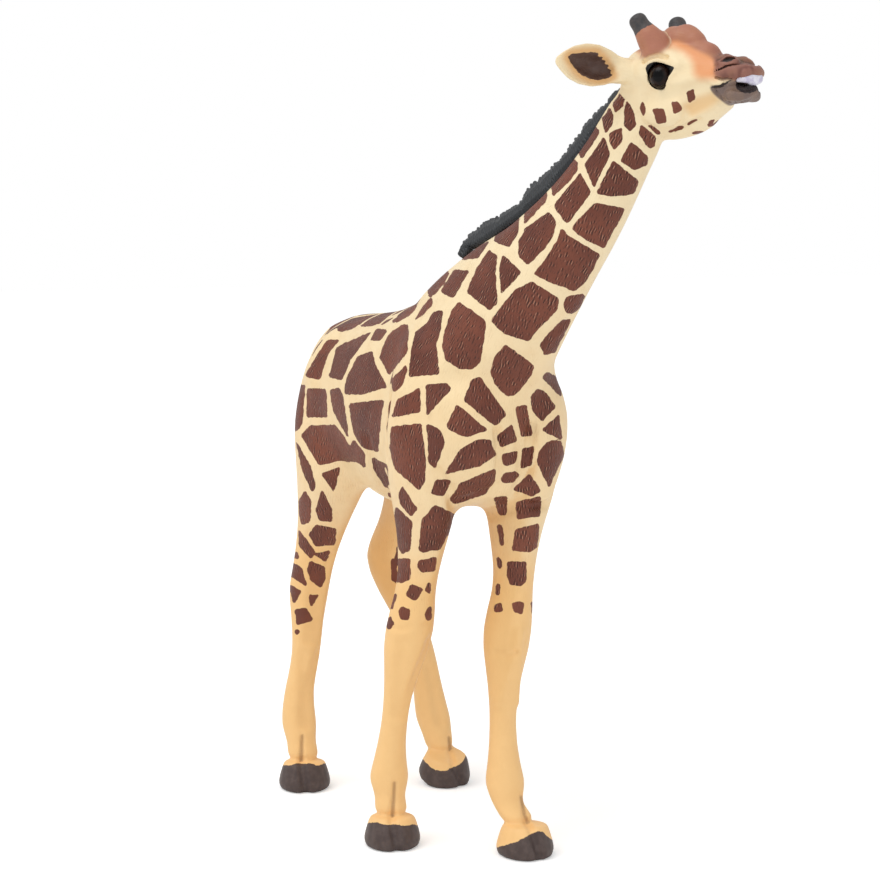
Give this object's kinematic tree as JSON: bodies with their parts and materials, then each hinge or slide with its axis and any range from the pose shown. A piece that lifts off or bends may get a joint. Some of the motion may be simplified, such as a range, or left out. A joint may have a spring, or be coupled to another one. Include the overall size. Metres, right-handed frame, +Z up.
{
  "type": "toy giraffe figure",
  "caption": "Solid vinyl giraffe figure for pretend play, walking with its long neck stretched up and its head turned.",
  "frame": {"origin": "on the floor, under the middle of the figure's bounding box", "axes": "+X forward along the trunk, +Y to the animal's left, +Z up"},
  "size_m": [0.1528, 0.0662, 0.1906],
  "materials": {
    "coat": "hand-painted vinyl, reddish-brown patches on cream and tan",
    "horn": "painted vinyl, brown stems with black caps",
    "hoof": "painted vinyl, dark brown, satin",
    "mane": "painted vinyl, charcoal",
    "eye": "gloss varnish on black",
    "tongue": "pale lilac, satin"
  },
  "bodies": {
    "root": {"trunk": "coat", "neck": "coat", "head": "coat", "foreleg_right": "coat", "foreleg_left": "coat", "hindleg_right": "coat", "hindleg_left": "coat", "tail": "coat", "ear_right": "coat", "ear_left": "coat", "horn_right": "horn", "horn_left": "horn", "fore_hoof_right": "hoof", "fore_hoof_left": "hoof", "hind_hoof_right": "hoof", "hind_hoof_left": "hoof", "eye_right": "eye", "eye_left": "eye", "tongue": "tongue", "mane": "mane", "tail_tuft": "mane"}
  },
  "joints": []
}
